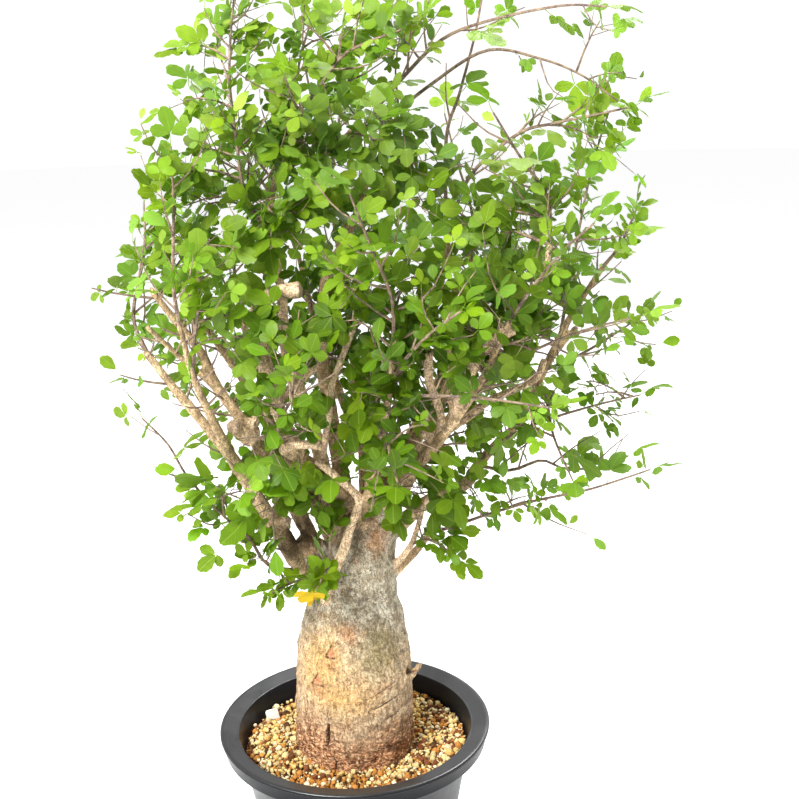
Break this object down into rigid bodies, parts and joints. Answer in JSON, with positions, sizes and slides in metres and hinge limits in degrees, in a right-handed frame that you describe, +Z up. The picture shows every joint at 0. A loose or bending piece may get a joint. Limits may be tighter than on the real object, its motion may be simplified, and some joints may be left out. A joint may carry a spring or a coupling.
{
  "type": "potted commiphora humbertii",
  "caption": "Bonsai with a swollen trunk, pruned limbs and leafy sprays of three-part leaves, standing in granular mix in a round black plastic pot.",
  "frame": {"origin": "centre of the pot's flat base, on the surface it stands on", "axes": "+Z up along the pot's axis, -Y towards the viewer of the picture, +X to the viewer's right"},
  "size_m": [0.512, 0.4796, 0.9369],
  "materials": {
    "pot_plastic": "satin",
    "granular_mix": "matte",
    "bark": "matte",
    "label_plastic": "satin",
    "foliage": "satin"
  },
  "bodies": {
    "root": {"pot": "pot_plastic", "substrate": "granular_mix", "trunk_and_branches": "bark", "plant_label": "label_plastic", "leafy_spray_01": "foliage", "leafy_spray_02": "foliage", "leafy_spray_03": "foliage", "leafy_spray_04": "foliage", "leafy_spray_05": "foliage", "leafy_spray_06": "foliage", "leafy_spray_07": "foliage", "leafy_spray_08": "foliage", "leafy_spray_09": "foliage", "leafy_spray_10": "foliage", "leafy_spray_11": "foliage", "leafy_spray_12": "foliage", "leafy_spray_13": "foliage", "leafy_spray_14": "foliage", "leafy_spray_15": "foliage", "leafy_spray_16": "foliage", "leafy_spray_17": "foliage", "leafy_spray_18": "foliage", "leafy_spray_19": "foliage", "leafy_spray_20": "foliage", "leafy_spray_21": "foliage", "leafy_spray_22": "foliage", "leafy_spray_23": "foliage", "leafy_spray_24": "foliage", "leafy_spray_25": "foliage", "leafy_spray_26": "foliage", "leafy_spray_27": "foliage", "leafy_spray_28": "foliage", "leafy_spray_29": "foliage", "leafy_spray_30": "foliage", "leafy_spray_31": "foliage", "leafy_spray_32": "foliage", "leafy_spray_33": "foliage", "leafy_spray_34": "foliage", "leafy_spray_35": "foliage", "leafy_spray_36": "foliage", "leafy_spray_37": "foliage", "leafy_spray_38": "foliage", "leafy_spray_39": "foliage", "leafy_spray_40": "foliage", "leafy_spray_41": "foliage", "leafy_spray_42": "foliage", "leafy_spray_43": "foliage"}
  },
  "joints": []
}
